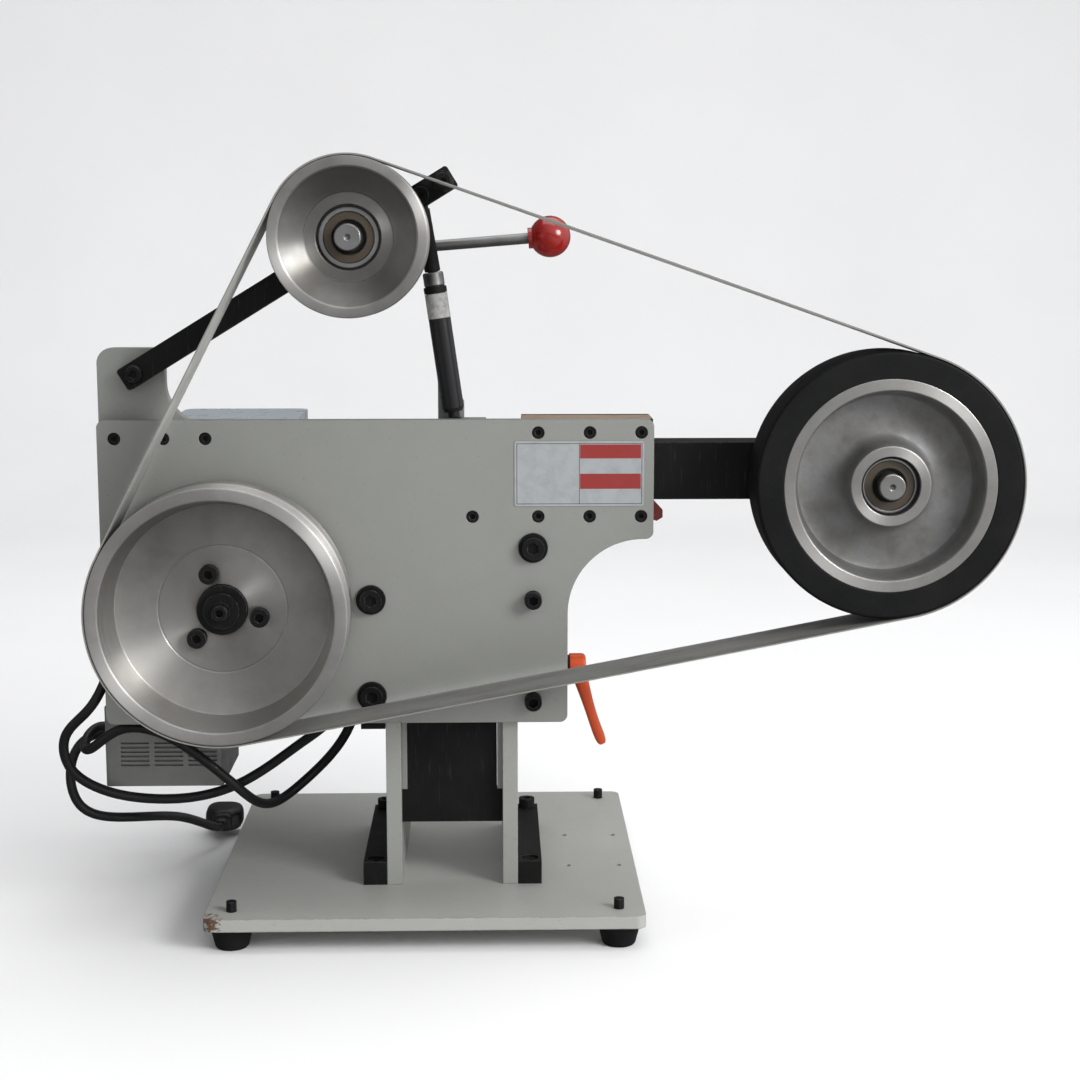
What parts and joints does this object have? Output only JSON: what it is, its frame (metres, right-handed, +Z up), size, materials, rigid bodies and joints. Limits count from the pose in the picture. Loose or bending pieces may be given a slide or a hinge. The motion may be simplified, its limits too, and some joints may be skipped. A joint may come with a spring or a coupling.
{
  "type": "belt grinder",
  "caption": "Bench belt grinder with a large rubber contact wheel, a tilting idler arm on a gas strut, a drive wheel on its motor, and a head that slides up a column on a footed base.",
  "frame": {"origin": "on the floor under the rubber feet, midway across the machine's whole width and midway along the depth of the base plate", "axes": "+X to the right towards the contact wheel, +Y away from the user along the wheel axles, +Z up"},
  "size_m": [0.7625, 0.34, 0.6031],
  "materials": {
    "grey_paint": "light grey machine enamel, semi-gloss",
    "black_steel": "black oxide steel, satin",
    "bare_steel": "machined steel",
    "aluminium": "turned aluminium with fine circular tool marks",
    "rubber": "matt black rubber",
    "abrasive": "cloth belt: coarse abrasive outside, grey backing inside",
    "motor_paint": "blue-grey enamel",
    "grey_plastic": "moulded grey plastic",
    "cable": "black cable sheath",
    "red_plastic": "glossy red plastic",
    "orange_zinc": "orange powder coat",
    "label": "blank printed plate"
  },
  "bodies": {
    "base": {"base_plate": "grey_paint", "rubber_feet": "rubber", "foot_studs": "black_steel", "column_left": "grey_paint", "column_right": "grey_paint", "clamp_block_left": "black_steel", "clamp_block_right": "black_steel", "clamp_block_screws": "black_steel", "column_web": "black_steel", "guide_strips": "grey_paint"},
    "head": {"front_plate": "grey_paint", "tab_plate": "grey_paint", "plate_screws": "black_steel", "slide_bar_left": "black_steel", "slide_bar_right": "black_steel", "slide_bolts": "black_steel", "slide_bolt_washers": "black_steel", "slide_cap_screws": "black_steel", "channel_bar_top": "black_steel", "channel_bar_bottom": "black_steel", "channel_back_plate": "black_steel", "label_plate": "label", "motor_housing": "motor_paint", "motor_front_shield": "motor_paint", "motor_fan_cover": "motor_paint", "motor_stator": "bare_steel", "motor_bearings": "bare_steel", "terminal_box": "motor_paint", "terminal_box_lid": "motor_paint", "control_box": "grey_plastic", "control_box_shelf": "black_steel", "cables": "cable", "mains_plug": "cable", "strut_bracket": "bare_steel", "arm_pivot_bolt": "black_steel", "abrasive_belt": "abrasive"},
    "drive": {"drive_wheel": "aluminium", "drive_hub": "black_steel", "drive_hub_screws": "black_steel", "drive_centre_screw": "black_steel", "motor_shaft": "bare_steel", "motor_fan": "cable"},
    "tension": {"tension_arm": "black_steel", "idler_axle": "bare_steel", "release_lever": "bare_steel", "ball_knob": "red_plastic"},
    "idler": {"idler_wheel": "aluminium", "idler_bearings": "bare_steel", "idler_circlips": "black_steel"},
    "strut_lower": {"strut_tube": "black_steel"},
    "strut_upper": {"strut_rod": "bare_steel"},
    "tool": {"tool_arm": "black_steel", "contact_axle": "bare_steel"},
    "contact": {"contact_wheel": "aluminium", "contact_tyre": "rubber", "contact_bearings": "bare_steel", "contact_circlips": "black_steel"},
    "clamp": {"clamp_lever": "orange_zinc", "clamp_stud": "black_steel"},
    "arm_lock": {"arm_lock_lever": "red_plastic"}
  },
  "joints": [
    {"name": "head_lift", "type": "slide", "parent": "base", "child": "head", "axis": [0, 0, 1], "range_m": [0, 0.06]},
    {"name": "drive_spin", "type": "hinge", "parent": "head", "child": "drive", "pos_m": [-0.2271, -0.135, 0.2602], "axis": [0, 1, 0], "continuous": true},
    {"name": "tension_tilt", "type": "hinge", "parent": "head", "child": "tension", "pos_m": [-0.2926, -0.098, 0.4397], "axis": [0, 1, 0], "range_deg": [0, 8], "stiffness_Nm_per_rad": 25, "springref_deg": -17.19},
    {"name": "idler_spin", "type": "hinge", "parent": "tension", "child": "idler", "pos_m": [-0.1245, -0.135, 0.5426], "axis": [0, 1, 0], "continuous": true},
    {"name": "strut_swing", "type": "hinge", "parent": "head", "child": "strut_lower", "pos_m": [-0.0479, -0.082, 0.398], "axis": [0, 1, 0], "range_deg": [0, 5]},
    {"name": "strut_slide", "type": "slide", "parent": "strut_lower", "child": "strut_upper", "axis": [-0.141, 0, 0.99], "range_m": [-0.0335, 0]},
    {"name": "tool_arm_slide", "type": "slide", "parent": "head", "child": "tool", "axis": [1, 0, 0], "range_m": [-0.05, 0]},
    {"name": "contact_spin", "type": "hinge", "parent": "tool", "child": "contact", "pos_m": [0.2791, -0.135, 0.3583], "axis": [0, 1, 0], "continuous": true},
    {"name": "clamp_turn", "type": "hinge", "parent": "head", "child": "clamp", "pos_m": [0.0498, -0.072, 0.204], "axis": [1, 0, 0], "range_deg": [0, 90]},
    {"name": "arm_lock_turn", "type": "hinge", "parent": "head", "child": "arm_lock", "pos_m": [0.0758, -0.04, 0.3625], "axis": [0, 1, 0], "range_deg": [-90, 0]}
  ],
  "couplings": [
    {"joint": "contact_spin", "follows": "drive_spin", "ratio": 0.97921},
    {"joint": "idler_spin", "follows": "drive_spin", "ratio": 1.6678},
    {"joint": "strut_swing", "follows": "tension_tilt", "ratio": 0.59},
    {"joint": "strut_slide", "follows": "tension_tilt", "m_per_rad": -0.2385}
  ]
}
